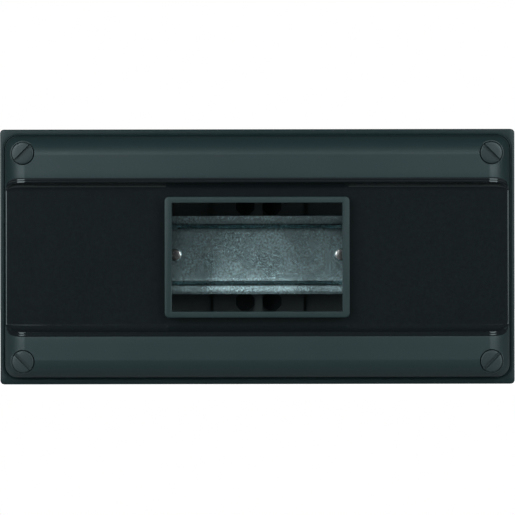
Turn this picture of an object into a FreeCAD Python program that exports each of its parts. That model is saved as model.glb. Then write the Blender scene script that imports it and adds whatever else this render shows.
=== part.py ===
import FreeCAD, Part
import math
import os
import Sketcher

# Surface-mounted distribution box for modular devices, in millimetres.
# X runs along the box, Z is up as it hangs on a wall, and the front faces -Y.
# The origin is the middle of the back face, so a depth d from the wall is y = -d.

SIZES = {
    # The whole box
    "box_width": 220.0,
    "box_height": 109.0,
    "box_depth": 88.0,
    "corner_round": 1.7,
    "seat_gap": 0.3,
    # Base housing
    "base_depth": 46.0,
    "base_wall": 2.5,
    "back_wall": 3.0,
    "tongue_height": 3.0,
    "tongue_inset": 1.3,
    "pillar_diameter": 12.4,
    "pillar_rise": 6.0,
    "pillar_web": 2.0,
    "fixing_across": 165.0,
    "fixing_up": 55.0,
    "fixing_bore": 5.5,
    "fixing_pad": 12.0,
    "fixing_pad_rise": 2.0,
    "plinth_width": 42.0,
    "plinth_height": 64.0,
    "plinth_rise": 4.0,
    "centre_rib": 3.6,
    "centre_rib_rise": 13.0,
    "well_across": 8.8,
    "well_from_middle": 6.3,
    "well_up": 22.4,
    "well_sink": 5.0,
    # Front cover
    "cover_wall": 2.5,
    "rim_width": 2.3,
    "rim_drop": 10.0,
    "rim_bevel": 0.4,
    "pillow_corner": 8.2,
    "roll_width": 7.8,
    "roll_foot": 1.1,
    "roll_radius": 10.8,
    "channel_height": 67.0,
    "channel_depth": 5.3,
    "collar_side": 3.15,
    "collar_top": 2.6,
    "collar_corner": 2.0,
    "collar_bevel": 0.5,
    "window_skirt": 1.8,
    "window_skirt_rise": 6.0,
    "cover_rib": 1.6,
    "cover_rib_rise": 7.0,
    "cover_rib_place": 64.0,
    "roll_inside": 6.6,
    # Cover screws, turned by a quarter
    "screw_from_side": 11.0,
    "screw_from_top": 10.5,
    "head_diameter": 9.0,
    "head_thickness": 2.4,
    "head_sink": 0.2,
    "head_gap": 0.35,
    "slot_width": 1.5,
    "slot_depth": 1.4,
    "shank_diameter": 5.0,
    "screw_reach": 12.6,
    "shank_gap": 0.1,
    "neck_diameter": 3.2,
    "neck_length": 3.0,
    "tip_length": 2.6,
    "tip_gap": 0.3,
    "tip_clear": 2.0,
    # Devices and the rail that carries them
    "module_width": 18.0,
    "module_count": 4.0,
    "device_height": 45.0,
    "device_gap": 0.5,
    "rail_height": 35.0,
    "rail_inside": 25.0,
    "rail_sheet": 1.0,
    "rail_hat": 7.5,
    "rail_bend": 0.8,
    "rail_end": 16.5,
    "rail_to_front": 49.5,
    "rail_hole": 3.6,
    "rail_screw_place": 37.5,
    "boss_diameter": 9.0,
    "boss_web": 2.0,
    "boss_web_reach": 11.0,
    "boss_web_drop": 8.0,
    "rail_screw_head": 5.8,
    "rail_screw_head_height": 2.3,
    "rail_screw_bevel": 0.3,
    "rail_screw_shank": 3.0,
    "rail_screw_length": 14.0,
    "rail_screw_fit": 0.05,
    # Cable entry plates
    "plate_wide": 60.0,
    "plate_narrow": 40.0,
    "plate_place": 55.0,
    "plate_sill": 8.0,
    "plate_fit": 0.1,
    "plate_flange": 1.5,
    "plate_overlap": 3.0,
    "guide_wall": 1.5,
    "guide_hook": 2.0,
    "knockout_diameter": 20.5,
    "knockout_cut": 1.5,
}


class Size:
    """A number with the formula that the sheet works it out by."""

    def __init__(self, value, formula):
        self.value = float(value)
        self.formula = formula

    def joined(self, sign, other, value):
        return Size(value, "(%s %s %s)" % (self.formula, sign, other.formula))

    def __add__(self, other):
        other = as_size(other)
        return self.joined("+", other, self.value + other.value)

    def __sub__(self, other):
        other = as_size(other)
        return self.joined("-", other, self.value - other.value)

    def __mul__(self, other):
        other = as_size(other)
        return self.joined("*", other, self.value * other.value)

    def __truediv__(self, other):
        other = as_size(other)
        return self.joined("/", other, self.value / other.value)

    def __neg__(self):
        return Size(-self.value, "(-1 * %s)" % self.formula)

    def __rsub__(self, other):
        return as_size(other) - self


def as_size(number):
    """The number as a Size, whether it is one already or a plain number."""
    if isinstance(number, Size):
        return number
    return Size(number, repr(float(number)))


def make_sheet(doc):
    """The sheet of driving sizes, one alias to a row."""
    sheet = doc.addObject("Spreadsheet::Sheet", "Sizes")
    for row, (alias, value) in enumerate(SIZES.items(), start=1):
        sheet.set("A%d" % row, alias)
        sheet.set("B%d" % row, str(value))
        sheet.setAlias("B%d" % row, alias)
    doc.recompute()
    return {alias: Size(sheet.get(alias), "Sizes.%s" % alias) for alias in SIZES}


doc = FreeCAD.newDocument("DistributionBox")
size = make_sheet(doc)

# Half sizes and depths from the wall that several pieces share
half_width = size["box_width"] / 2
half_height = size["box_height"] / 2
front = size["box_depth"]
rim_plane = front - size["rim_drop"]
channel_floor = front - size["channel_depth"]
parting = size["base_depth"]
tongue_top = parting + size["tongue_height"]
skirt_end = parting + size["seat_gap"]
pillar_top = parting + size["pillar_rise"]
tube_end = pillar_top + size["seat_gap"]
screw_x = half_width - size["screw_from_side"]
screw_z = half_height - size["screw_from_top"]
head_top = front - size["head_sink"]
head_seat = head_top - size["head_thickness"]
tip_end = pillar_top - size["screw_reach"]
window_width = size["module_width"] * size["module_count"]
window_height = size["device_height"] + size["device_gap"] * 2
rail_half = size["rail_screw_place"] + size["rail_end"]
rail_front = front - size["rail_to_front"]
rail_back = rail_front - size["rail_hat"]
web_front = rail_back + size["rail_sheet"]


def new_body(label):
    body = doc.addObject("PartDesign::Body", label)
    body.Label = label
    return body


def origin_plane(body, role):
    return next(part for part in body.Origin.OriginFeatures if part.Role == role)


def new_sketch(body, name, role="XZ_Plane", offset=0.0):
    """A sketch on one of the body's own planes, moved along the plane's normal."""
    sketch = body.newObject("Sketcher::SketchObject", name)
    sketch.AttachmentSupport = [(origin_plane(body, role), "")]
    sketch.MapMode = "FlatFace"
    sketch.setExpression("AttachmentOffset.Base.z", as_size(offset).formula)
    return sketch


def pin_point(sketch, geometry, end, u, v):
    """Hold one point of the sketch at its two distances from the origin."""
    for kind, distance in (("DistanceX", as_size(u)), ("DistanceY", as_size(v))):
        rule = sketch.addConstraint(Sketcher.Constraint(kind, -1, 1, geometry, end, distance.value))
        sketch.setExpression("Constraints[%d]" % rule, distance.formula)


def point(u, v):
    return FreeCAD.Vector(as_size(u).value, as_size(v).value, 0)


def add_loop(sketch, corners):
    """A closed loop of straight sides through the corners."""
    first = sketch.GeometryCount
    count = len(corners)
    for start, end in zip(corners, corners[1:] + corners[:1]):
        sketch.addGeometry(Part.LineSegment(point(*start), point(*end)), False)
    for index, corner in enumerate(corners):
        following = first + (index + 1) % count
        sketch.addConstraint(Sketcher.Constraint("Coincident", first + index, 2, following, 1))
        pin_point(sketch, first + index, 1, *corner)


def add_box(sketch, low_u, low_v, high_u, high_v):
    add_loop(sketch, [(low_u, low_v), (high_u, low_v), (high_u, high_v), (low_u, high_v)])


def add_centred_box(sketch, half_u, half_v):
    add_box(sketch, -half_u, -half_v, half_u, half_v)


def add_round_box(sketch, half_u, half_v, radius):
    """A centred rectangle with rounded corners, drawn anticlockwise from its lower side."""
    first = sketch.GeometryCount
    flat_u = half_u - radius
    flat_v = half_v - radius
    sides = [
        ((-flat_u, -half_v), (flat_u, -half_v), (flat_u, -flat_v)),
        ((half_u, -flat_v), (half_u, flat_v), (flat_u, flat_v)),
        ((flat_u, half_v), (-flat_u, half_v), (-flat_u, flat_v)),
        ((-half_u, flat_v), (-half_u, -flat_v), (-flat_u, -flat_v)),
    ]
    for turn, (start, end, centre) in enumerate(sides):
        sketch.addGeometry(Part.LineSegment(point(*start), point(*end)), False)
        circle = Part.Circle(point(*centre), FreeCAD.Vector(0, 0, 1), radius.value)
        from_angle = (turn - 1) * math.pi / 2
        sketch.addGeometry(Part.ArcOfCircle(circle, from_angle, from_angle + math.pi / 2), False)
    for turn, (start, end, centre) in enumerate(sides):
        line = first + 2 * turn
        following = first + (2 * turn + 2) % 8
        pin_point(sketch, line, 1, *start)
        pin_point(sketch, line, 2, *end)
        sketch.addConstraint(Sketcher.Constraint("Coincident", line, 2, line + 1, 1))
        sketch.addConstraint(Sketcher.Constraint("Coincident", line + 1, 2, following, 1))
        hold_radius(sketch, line + 1, radius)


def hold_radius(sketch, geometry, radius):
    rule = sketch.addConstraint(Sketcher.Constraint("Radius", geometry, radius.value))
    sketch.setExpression("Constraints[%d]" % rule, radius.formula)


def add_circle(sketch, u, v, diameter):
    diameter = as_size(diameter)
    circle = Part.Circle(point(u, v), FreeCAD.Vector(0, 0, 1), diameter.value / 2)
    index = sketch.addGeometry(circle, False)
    pin_point(sketch, index, 3, u, v)
    rule = sketch.addConstraint(Sketcher.Constraint("Diameter", index, diameter.value))
    sketch.setExpression("Constraints[%d]" % rule, diameter.formula)


def add_octagon(sketch, u, v, across):
    """A regular octagon that stands on one of its flats."""
    reach = across / 2
    flat = reach * math.tan(math.pi / 8)
    turns = [(flat, reach), (reach, flat), (reach, -flat), (flat, -reach)]
    turns += [(-flat, -reach), (-reach, -flat), (-reach, flat), (-flat, reach)]
    add_loop(sketch, [(u + across_u, v + across_v) for across_u, across_v in turns])


def pad(body, name, sketch, length, back=False):
    """Add the sketch's area, towards the front or, where back is set, towards the wall."""
    feature = body.newObject("PartDesign::Pad", name)
    feature.Profile = sketch
    feature.Reversed = back
    feature.setExpression("Length", as_size(length).formula)
    doc.recompute()
    return feature


def pocket(body, name, sketch, length=None, forward=False):
    """Cut the sketch's area towards the wall, to a depth or right through."""
    feature = body.newObject("PartDesign::Pocket", name)
    feature.Profile = sketch
    feature.Reversed = forward
    if length is None:
        feature.Type = "ThroughAll"
    else:
        feature.setExpression("Length", as_size(length).formula)
    doc.recompute()
    return feature


def turned(body, name, profile):
    """Turn a profile of (radius, y) corners about the body's Y axis."""
    sketch = new_sketch(body, name + "_profile", "XY_Plane")
    add_loop(sketch, profile)
    feature = body.newObject("PartDesign::Revolution", name)
    feature.Profile = sketch
    feature.ReferenceAxis = (sketch, ["V_Axis"])
    feature.Angle = 360
    doc.recompute()
    return feature


def edges_where(feature, test):
    """Names of the feature's edges whose middle and direction pass the test."""
    names = []
    for index, edge in enumerate(feature.Shape.Edges, start=1):
        ends = (edge.firstVertex().Point, edge.lastVertex().Point)
        middle = edge.valueAt((edge.FirstParameter + edge.LastParameter) / 2)
        if test(middle, ends[1] - ends[0]):
            names.append("Edge%d" % index)
    return names


def fillet(body, name, feature, radius, test):
    """Round the edges that pass the test."""
    edges = edges_where(feature, test)
    if not edges:
        raise RuntimeError("%s finds no edge to round" % name)
    rounded = body.newObject("PartDesign::Fillet", name)
    rounded.Base = (feature, edges)
    rounded.setExpression("Radius", as_size(radius).formula)
    doc.recompute()
    return rounded


def bevel(body, name, feature, width, test):
    """Bevel the edges that pass the test."""
    edges = edges_where(feature, test)
    if not edges:
        raise RuntimeError("%s finds no edge to bevel" % name)
    bevelled = body.newObject("PartDesign::Chamfer", name)
    bevelled.Base = (feature, edges)
    bevelled.setExpression("Size", as_size(width).formula)
    doc.recompute()
    return bevelled


def near(value, target):
    return abs(value - as_size(target).value) < 0.01


def outer_corner(middle, along):
    """An edge along Y at one of the box's four outer corners."""
    at_corner = near(abs(middle.x), half_width) and near(abs(middle.z), half_height)
    return at_corner and abs(along.y) > 1


def four_corners(u, v):
    return [(-u, -v), (u, -v), (u, v), (-u, v)]


def plate_slots():
    """Each entry plate's name, the wall it sits in, its place along it and its width."""
    wide = size["plate_wide"]
    narrow = size["plate_narrow"]
    place = size["plate_place"]
    return [
        ("entry_plate_top_left", "top", -place, wide),
        ("entry_plate_top_right", "top", place, wide),
        ("entry_plate_bottom_left", "bottom", -place, wide),
        ("entry_plate_bottom_right", "bottom", place, wide),
        ("entry_plate_side_left", "left", as_size(0), narrow),
        ("entry_plate_side_right", "right", as_size(0), narrow),
    ]


def on_wall(wall, along, inward):
    """The (x, z) of a point on a wall, by its place along it and its distance inwards."""
    if wall == "top":
        return along, half_height - inward
    if wall == "bottom":
        return along, inward - half_height
    if wall == "left":
        return inward - half_width, along
    return half_width - inward, along


def add_wall_loop(sketch, wall, corners):
    """A loop given by places along a wall and distances inwards from its outer face."""
    add_loop(sketch, [on_wall(wall, along, inward) for along, inward in corners])


def base_housing():
    """The moulded tray that is screwed to the wall, with its rail bosses and corner pillars."""
    body = new_body("base_housing")
    wall = size["base_wall"]
    back = size["back_wall"]
    inner_x = half_width - wall
    inner_z = half_height - wall

    outline = new_sketch(body, "base_outline")
    add_centred_box(outline, half_width, half_height)
    block = pad(body, "base_block", outline, tongue_top)
    fillet(body, "base_corners", block, size["corner_round"], outer_corner)

    hollow = new_sketch(body, "tray_outline", offset=tongue_top)
    add_centred_box(hollow, inner_x, inner_z)
    pocket(body, "tray", hollow, tongue_top - back)

    step = new_sketch(body, "tongue_outline", offset=tongue_top)
    inset = size["tongue_inset"]
    add_centred_box(step, half_width + wall, half_height + wall)
    add_centred_box(step, half_width - inset, half_height - inset)
    pocket(body, "tongue_step", step, size["tongue_height"])

    pillars = new_sketch(body, "pillar_outline", offset=back)
    for x, z in four_corners(screw_x, screw_z):
        add_circle(pillars, x, z, size["pillar_diameter"])
    pad(body, "pillars", pillars, pillar_top - back)

    half_web = size["pillar_web"] / 2
    webs = new_sketch(body, "pillar_web_outline", offset=back)
    for side in (-1, 1):
        for level in (-1, 1):
            x = screw_x * side
            z = screw_z * level
            add_loop(webs, [
                (x - half_web, z),
                (x + half_web, z),
                (x + half_web, inner_z * level),
                (x - half_web, inner_z * level),
            ])
    pad(body, "pillar_webs_up", webs, parting - back)
    cross_webs = new_sketch(body, "pillar_cross_web_outline", offset=back)
    for side in (-1, 1):
        for level in (-1, 1):
            x = screw_x * side
            z = screw_z * level
            add_loop(cross_webs, [
                (x, z - half_web),
                (x, z + half_web),
                (inner_x * side, z + half_web),
                (inner_x * side, z - half_web),
            ])
    pad(body, "pillar_webs_across", cross_webs, parting - back)

    bores = new_sketch(body, "pillar_bore_outline", offset=pillar_top)
    for x, z in four_corners(screw_x, screw_z):
        add_circle(bores, x, z, size["shank_diameter"] + size["tip_gap"] * 2)
    pocket(body, "pillar_bores", bores, pillar_top - tip_end + size["tip_clear"])

    plinth = new_sketch(body, "plinth_outline", offset=back)
    add_centred_box(plinth, size["plinth_width"] / 2, size["plinth_height"] / 2)
    pad(body, "plinth", plinth, size["plinth_rise"])

    rib = new_sketch(body, "centre_rib_outline", offset=back)
    add_centred_box(rib, size["centre_rib"] / 2, inner_z)
    pad(body, "centre_rib", rib, size["centre_rib_rise"])

    wells = new_sketch(body, "well_outline", offset=back + size["plinth_rise"])
    for x, z in four_corners(size["well_from_middle"], size["well_up"]):
        add_octagon(wells, x, z, size["well_across"])
    pocket(body, "wells", wells, size["well_sink"])

    bosses = new_sketch(body, "rail_boss_outline", offset=back)
    for side in (-1, 1):
        add_circle(bosses, size["rail_screw_place"] * side, 0, size["boss_diameter"])
    pad(body, "rail_bosses", bosses, rail_back - back)
    boss_webs = new_sketch(body, "boss_web_outline", offset=back)
    half_boss_web = size["boss_web"] / 2
    reach = size["boss_web_reach"]
    for side in (-1, 1):
        x = size["rail_screw_place"] * side
        add_box(boss_webs, x - half_boss_web, -reach, x + half_boss_web, reach)
    pad(body, "boss_webs", boss_webs, rail_back - back - size["boss_web_drop"])
    boss_bores = new_sketch(body, "boss_bore_outline", offset=rail_back)
    for side in (-1, 1):
        x = size["rail_screw_place"] * side
        add_circle(boss_bores, x, 0, size["rail_screw_shank"] + size["rail_screw_fit"] * 2)
    bore_depth = size["rail_screw_length"] - size["rail_sheet"] + size["rail_screw_shank"] / 2
    pocket(body, "boss_bores", boss_bores, bore_depth)

    pads = new_sketch(body, "fixing_pad_outline", offset=back)
    holes = new_sketch(body, "fixing_hole_outline", offset=back + size["fixing_pad_rise"])
    half_pad = size["fixing_pad"] / 2
    for x, z in four_corners(size["fixing_across"] / 2, size["fixing_up"] / 2):
        add_box(pads, x - half_pad, z - half_pad, x + half_pad, z + half_pad)
        add_circle(holes, x, z, size["fixing_bore"])
    pad(body, "fixing_pads", pads, size["fixing_pad_rise"])
    pocket(body, "fixing_holes", holes)

    notches = new_sketch(body, "entry_notch_outline", offset=size["plate_sill"])
    guides = new_sketch(body, "entry_guide_outline", offset=back)
    for name, side, place, width in plate_slots():
        half = width / 2
        add_wall_loop(notches, side, [
            (place - half, -wall),
            (place + half, -wall),
            (place + half, wall),
            (place - half, wall),
        ])
        add_entry_guides(guides, side, place, half)
    pocket(body, "entry_notches", notches, forward=True)
    pad(body, "entry_guides", guides, parting - back)
    return body


def add_entry_guides(sketch, wall, place, half):
    """Two hooked guides that hold an entry plate's flange against the wall."""
    inner_face = size["base_wall"]
    flange_edge = half + size["plate_overlap"] + size["plate_fit"]
    flange_back = inner_face + size["plate_flange"] + size["plate_fit"]
    outside = flange_edge + size["guide_wall"]
    hook_back = flange_back + size["guide_wall"]
    hook_end = flange_edge - size["guide_hook"]
    for side in (-1, 1):
        add_wall_loop(sketch, wall, [
            (place + flange_edge * side, inner_face),
            (place + outside * side, inner_face),
            (place + outside * side, hook_back),
            (place + hook_end * side, hook_back),
            (place + hook_end * side, flange_back),
            (place + flange_edge * side, flange_back),
        ])


def roll_profile(sketch):
    """The section that is cut away all round the pillow, drawn where the path starts."""
    foot_v = size["rim_width"] - half_height
    inner_v = foot_v + size["roll_width"]
    wall_v = foot_v + size["roll_foot"]
    clear = size["roll_width"]
    points = [
        (-front, inner_v),
        (-channel_floor, wall_v),
        (-rim_plane, foot_v),
        (-rim_plane, foot_v - clear),
        (-front - clear, foot_v - clear),
        (-front - clear, inner_v),
    ]
    start = point(*points[0])
    end = point(*points[1])
    half_chord = (end - start).Length / 2
    radius = size["roll_radius"]
    sagitta = radius.value - math.sqrt(radius.value ** 2 - half_chord ** 2)
    outward = FreeCAD.Vector(end.y - start.y, start.x - end.x, 0).normalize()
    crown = (start + end) * 0.5 + outward * sagitta
    sketch.addGeometry(Part.Arc(start, crown, end), False)
    for first, second in zip(points[1:], points[2:] + points[:1]):
        sketch.addGeometry(Part.LineSegment(point(*first), point(*second)), False)
    arc_starts_first = sketch.Geometry[0].StartPoint.isEqual(start, 0.001)
    arc_ends = (1, 2) if arc_starts_first else (2, 1)
    for index in range(1, 5):
        sketch.addConstraint(Sketcher.Constraint("Coincident", index, 2, index + 1, 1))
    sketch.addConstraint(Sketcher.Constraint("Coincident", 5, 2, 0, arc_ends[0]))
    sketch.addConstraint(Sketcher.Constraint("Coincident", 0, arc_ends[1], 1, 1))
    for index, corner in enumerate(points[1:], start=1):
        pin_point(sketch, index, 1, *corner)
    pin_point(sketch, 5, 2, *points[0])
    hold_radius(sketch, 0, radius)


def channel_profile(sketch):
    """The coved channel's section: a flat floor between two quarter circles."""
    edge = size["channel_height"] / 2
    depth = size["channel_depth"]
    floor_edge = edge - depth
    above = front + depth
    quarter = math.pi / 2
    outward = FreeCAD.Vector(0, 0, 1)
    lower = Part.Circle(point(-front, -floor_edge), outward, depth.value)
    upper = Part.Circle(point(-front, floor_edge), outward, depth.value)
    sketch.addGeometry(Part.ArcOfCircle(lower, 3 * quarter, 4 * quarter), False)
    sketch.addGeometry(Part.ArcOfCircle(upper, 0, quarter), False)
    corners = [(-front, edge), (-above, edge), (-above, -edge), (-front, -edge)]
    for start, end in zip(corners, corners[1:]):
        sketch.addGeometry(Part.LineSegment(point(*start), point(*end)), False)
    floor_line = (point(-channel_floor, -floor_edge), point(-channel_floor, floor_edge))
    sketch.addGeometry(Part.LineSegment(*floor_line), False)
    joints = [(0, 2, 5, 1), (5, 2, 1, 1), (1, 2, 2, 1), (2, 2, 3, 1), (3, 2, 4, 1), (4, 2, 0, 1)]
    for first, first_end, second, second_end in joints:
        sketch.addConstraint(Sketcher.Constraint("Coincident", first, first_end, second, second_end))
    pin_point(sketch, 5, 1, -channel_floor, -floor_edge)
    pin_point(sketch, 5, 2, -channel_floor, floor_edge)
    for index, corner in enumerate(corners[:3], start=2):
        pin_point(sketch, index, 1, *corner)
    pin_point(sketch, 4, 2, *corners[3])
    hold_radius(sketch, 0, depth)
    hold_radius(sketch, 1, depth)


def front_cover():
    """The moulded cover: rolled pillow, coved channel, window collar and screw tubes."""
    body = new_body("front_cover")
    wall = size["cover_wall"]
    rim = size["rim_width"]

    skirt = new_sketch(body, "skirt_outline", offset=skirt_end)
    add_centred_box(skirt, half_width, half_height)
    skirt_block = pad(body, "skirt", skirt, rim_plane - skirt_end)
    rounded = fillet(body, "skirt_corners", skirt_block, size["corner_round"], outer_corner)
    bevel(body, "rim_edge", rounded, size["rim_bevel"],
          lambda middle, along: near(middle.y, -rim_plane))

    pillow = new_sketch(body, "pillow_outline", offset=rim_plane)
    add_round_box(pillow, half_width - rim, half_height - rim, size["pillow_corner"])
    pad(body, "pillow", pillow, size["rim_drop"])
    path = new_sketch(body, "roll_path", offset=rim_plane)
    add_round_box(path, half_width - rim, half_height - rim, size["pillow_corner"])
    section = new_sketch(body, "roll_section", "YZ_Plane")
    roll_profile(section)
    roll = body.newObject("PartDesign::SubtractivePipe", "pillow_roll")
    roll.Profile = section
    roll.Spine = (path, [])
    doc.recompute()

    channel = new_sketch(body, "channel_section", "YZ_Plane", offset=-half_width)
    channel_profile(channel)
    pocket(body, "channel", channel, size["box_width"], forward=True)

    half_window_x = window_width / 2
    half_window_z = window_height / 2
    collar = new_sketch(body, "collar_outline", offset=channel_floor)
    collar_x = half_window_x + size["collar_side"]
    collar_z = half_window_z + size["collar_top"]
    add_round_box(collar, collar_x, collar_z, size["collar_corner"])
    frame = pad(body, "collar", collar, size["channel_depth"])
    bevel(body, "collar_edge", frame, size["collar_bevel"],
          lambda middle, along: near(middle.y, -front)
          and abs(middle.x) < collar_x.value + 0.01 and abs(middle.z) < collar_z.value + 0.01)

    cover_hollows(body, wall)
    window_skirt = new_sketch(body, "window_skirt_outline", offset=channel_floor - wall)
    skirt_wall = size["window_skirt"]
    add_centred_box(window_skirt, half_window_x + skirt_wall, half_window_z + skirt_wall)
    pad(body, "window_skirt", window_skirt, size["window_skirt_rise"], back=True)
    window = new_sketch(body, "window_outline", offset=front)
    add_centred_box(window, half_window_x, half_window_z)
    pocket(body, "window", window)

    tubes = new_sketch(body, "tube_outline", offset=tube_end)
    recesses = new_sketch(body, "head_recess_outline", offset=front)
    shank_bores = new_sketch(body, "shank_bore_outline", offset=front)
    for x, z in four_corners(screw_x, screw_z):
        add_circle(tubes, x, z, size["pillar_diameter"])
        add_circle(recesses, x, z, size["head_diameter"] + size["head_gap"] * 2)
        add_circle(shank_bores, x, z, size["shank_diameter"] + size["shank_gap"] * 2)
    pad(body, "screw_tubes", tubes, front - wall - tube_end)
    pocket(body, "head_recesses", recesses, front - head_seat + size["seat_gap"])
    pocket(body, "shank_bores", shank_bores)
    return body


def cover_hollows(body, wall):
    """The cover's inside: skirt, pillow and the two bands beside the channel."""
    inner_x = half_width - wall
    inner_z = half_height - wall
    rim_hollow = new_sketch(body, "skirt_hollow_outline", offset=skirt_end)
    add_centred_box(rim_hollow, inner_x, inner_z)
    pocket(body, "skirt_hollow", rim_hollow, rim_plane - wall - skirt_end, forward=True)

    lip = size["tongue_inset"] - size["seat_gap"]
    rebate = new_sketch(body, "tongue_rebate_outline", offset=skirt_end)
    add_centred_box(rebate, half_width - lip, half_height - lip)
    pocket(body, "tongue_rebate", rebate, size["tongue_height"], forward=True)

    pillow_inset = size["rim_width"] + size["roll_foot"] / 2 + wall
    pillow_hollow = new_sketch(body, "pillow_hollow_outline", offset=rim_plane - wall)
    add_centred_box(pillow_hollow, half_width - pillow_inset, half_height - pillow_inset)
    pocket(body, "pillow_hollow", pillow_hollow, channel_floor - rim_plane, forward=True)

    band_inset = size["rim_width"] + size["roll_inside"]
    band_low = size["channel_height"] / 2 + wall
    bands = new_sketch(body, "band_hollow_outline", offset=channel_floor - wall)
    for level in (-1, 1):
        low = band_low * level
        high = (half_height - band_inset) * level
        reach = half_width - band_inset
        add_loop(bands, [(-reach, low), (reach, low), (reach, high), (-reach, high)])
    pocket(body, "band_hollows", bands, size["channel_depth"], forward=True)

    ribs = new_sketch(body, "cover_rib_outline", offset=channel_floor - wall)
    half_rib = size["cover_rib"] / 2
    for side in (-1, 1):
        x = size["cover_rib_place"] * side
        add_box(ribs, x - half_rib, -band_low, x + half_rib, band_low)
    pad(body, "cover_ribs", ribs, size["cover_rib_rise"], back=True)


def cover_screw(name, side, level):
    """A captive quarter-turn screw: slotted head, long shank and a hammer-shaped tip."""
    body = new_body(name)
    head = size["head_diameter"] / 2
    shank = size["shank_diameter"] / 2
    neck = size["neck_diameter"] / 2
    neck_start = tip_end + size["tip_length"] + size["neck_length"]
    turned(body, name + "_turned", [
        (0, -head_top),
        (head, -head_top),
        (head, -head_seat),
        (shank, -head_seat),
        (shank, -neck_start),
        (neck, -neck_start),
        (neck, -tip_end - size["tip_length"]),
        (shank, -tip_end - size["tip_length"]),
        (shank, -tip_end),
        (0, -tip_end),
    ])
    slot = new_sketch(body, name + "_slot_outline", offset=head_top)
    add_centred_box(slot, size["head_diameter"], size["slot_width"] / 2)
    pocket(body, name + "_slot", slot, size["slot_depth"])
    flats = new_sketch(body, name + "_tip_flat_outline", offset=tip_end + size["tip_length"])
    for flat_side in (-1, 1):
        add_box(flats, -size["shank_diameter"], neck * flat_side,
                size["shank_diameter"], size["shank_diameter"] * flat_side)
    pocket(body, name + "_tip_flats", flats, size["tip_length"])

    # Each slot lies across the line from its screw to the middle of the box
    lean = 45 if side * level > 0 else -45
    body.setExpression("Placement.Base.x", (screw_x * side).formula)
    body.setExpression("Placement.Base.z", (screw_z * level).formula)
    body.Placement.Rotation = FreeCAD.Rotation(FreeCAD.Vector(0, 1, 0), lean)
    return body


def din_rail():
    """The top-hat rail, rolled from one strip, with a hole for each of its two screws."""
    body = new_body("din_rail")
    sheet = size["rail_sheet"]
    outer = size["rail_height"] / 2
    inside = size["rail_inside"] / 2
    outside = inside + sheet
    lip_back = rail_front - sheet
    section = new_sketch(body, "rail_section", "YZ_Plane", offset=-rail_half)
    add_loop(section, [
        (-rail_back, -outside),
        (-lip_back, -outside),
        (-lip_back, -outer),
        (-rail_front, -outer),
        (-rail_front, -inside),
        (-web_front, -inside),
        (-web_front, inside),
        (-rail_front, inside),
        (-rail_front, outer),
        (-lip_back, outer),
        (-lip_back, outside),
        (-rail_back, outside),
    ])
    strip = pad(body, "rail_strip", section, rail_half * 2)

    def bend_at(depth, height):
        return lambda middle, along: (
            abs(along.x) > 1 and near(middle.y, -depth) and near(abs(middle.z), height))

    bend = size["rail_bend"]
    for name, radius, depth, height in (
        ("bend_inner_web", bend, web_front, inside),
        ("bend_outer_web", bend + sheet, rail_back, outside),
        ("bend_inner_lip", bend, lip_back, outside),
        ("bend_outer_lip", bend + sheet, rail_front, inside),
    ):
        strip = fillet(body, name, strip, radius, bend_at(depth, height))

    holes = new_sketch(body, "rail_hole_outline", offset=rail_front)
    for side in (-1, 1):
        add_circle(holes, size["rail_screw_place"] * side, 0, size["rail_hole"])
    pocket(body, "rail_holes", holes)
    return body


def rail_screw(name, side):
    """A pan-head screw that holds the rail down on its boss."""
    body = new_body(name)
    head = size["rail_screw_head"] / 2
    shank = size["rail_screw_shank"] / 2
    top = web_front + size["rail_screw_head_height"]
    end = web_front - size["rail_screw_length"]
    slope = size["rail_screw_bevel"]
    turned(body, name + "_turned", [
        (0, -top),
        (head - slope, -top),
        (head, slope - top),
        (head, -web_front),
        (shank, -web_front),
        (shank, -end),
        (0, -end),
    ])
    body.setExpression("Placement.Base.x", (size["rail_screw_place"] * side).formula)
    return body


def entry_plate(name, wall, place, width):
    """A slide-in plate that closes a cable entry, thinner in the round part that is knocked out."""
    body = new_body(name)
    thick = size["base_wall"]
    fit = size["plate_fit"]
    half = width / 2 - fit
    sill = size["plate_sill"] + fit
    panel = new_sketch(body, name + "_panel_outline", offset=sill)
    add_box(panel, -half, -thick, half, 0)
    pad(body, name + "_panel", panel, parting - sill)
    tongue = new_sketch(body, name + "_tongue_outline", offset=parting)
    add_box(tongue, -half, -thick, half, -size["tongue_inset"])
    pad(body, name + "_tongue", tongue, size["tongue_height"])
    flange = new_sketch(body, name + "_flange_outline", offset=sill - size["plate_overlap"])
    reach = width / 2 + size["plate_overlap"]
    add_box(flange, -reach, -thick - size["plate_flange"], reach, -thick)
    pad(body, name + "_flange", flange, parting - sill + size["plate_overlap"])

    knockout = new_sketch(body, name + "_knockout_outline", "XY_Plane")
    middle = -(parting + size["plate_sill"]) / 2
    add_circle(knockout, 0, middle, size["knockout_diameter"])
    pocket(body, name + "_knockout", knockout, size["knockout_cut"])

    turn = {"top": 0, "right": 90, "bottom": 180, "left": -90}[wall]
    x, z = on_wall(wall, place, as_size(0))
    body.setExpression("Placement.Base.x", x.formula)
    body.setExpression("Placement.Base.z", z.formula)
    body.Placement.Rotation = FreeCAD.Rotation(FreeCAD.Vector(0, 1, 0), turn)
    return body


def check(bodies):
    """Stop where an object failed, or where a feature left its body as it was."""
    for item in doc.Objects:
        if "Invalid" in item.State or "Error" in item.State:
            raise RuntimeError("%s did not build: %s" % (item.Label, item.State))
        before = getattr(item, "BaseFeature", None)
        if item.TypeId != "PartDesign::Body" and before is not None:
            if abs(item.Shape.Volume - before.Shape.Volume) < 0.001:
                raise RuntimeError("%s changes nothing" % item.Label)
    for body in bodies:
        if body.Shape.isNull() or not body.Shape.isValid():
            raise RuntimeError("%s has no valid shape" % body.Label)
        if len(body.Shape.Solids) != 1:
            raise RuntimeError("%s is %d solids" % (body.Label, len(body.Shape.Solids)))


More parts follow.
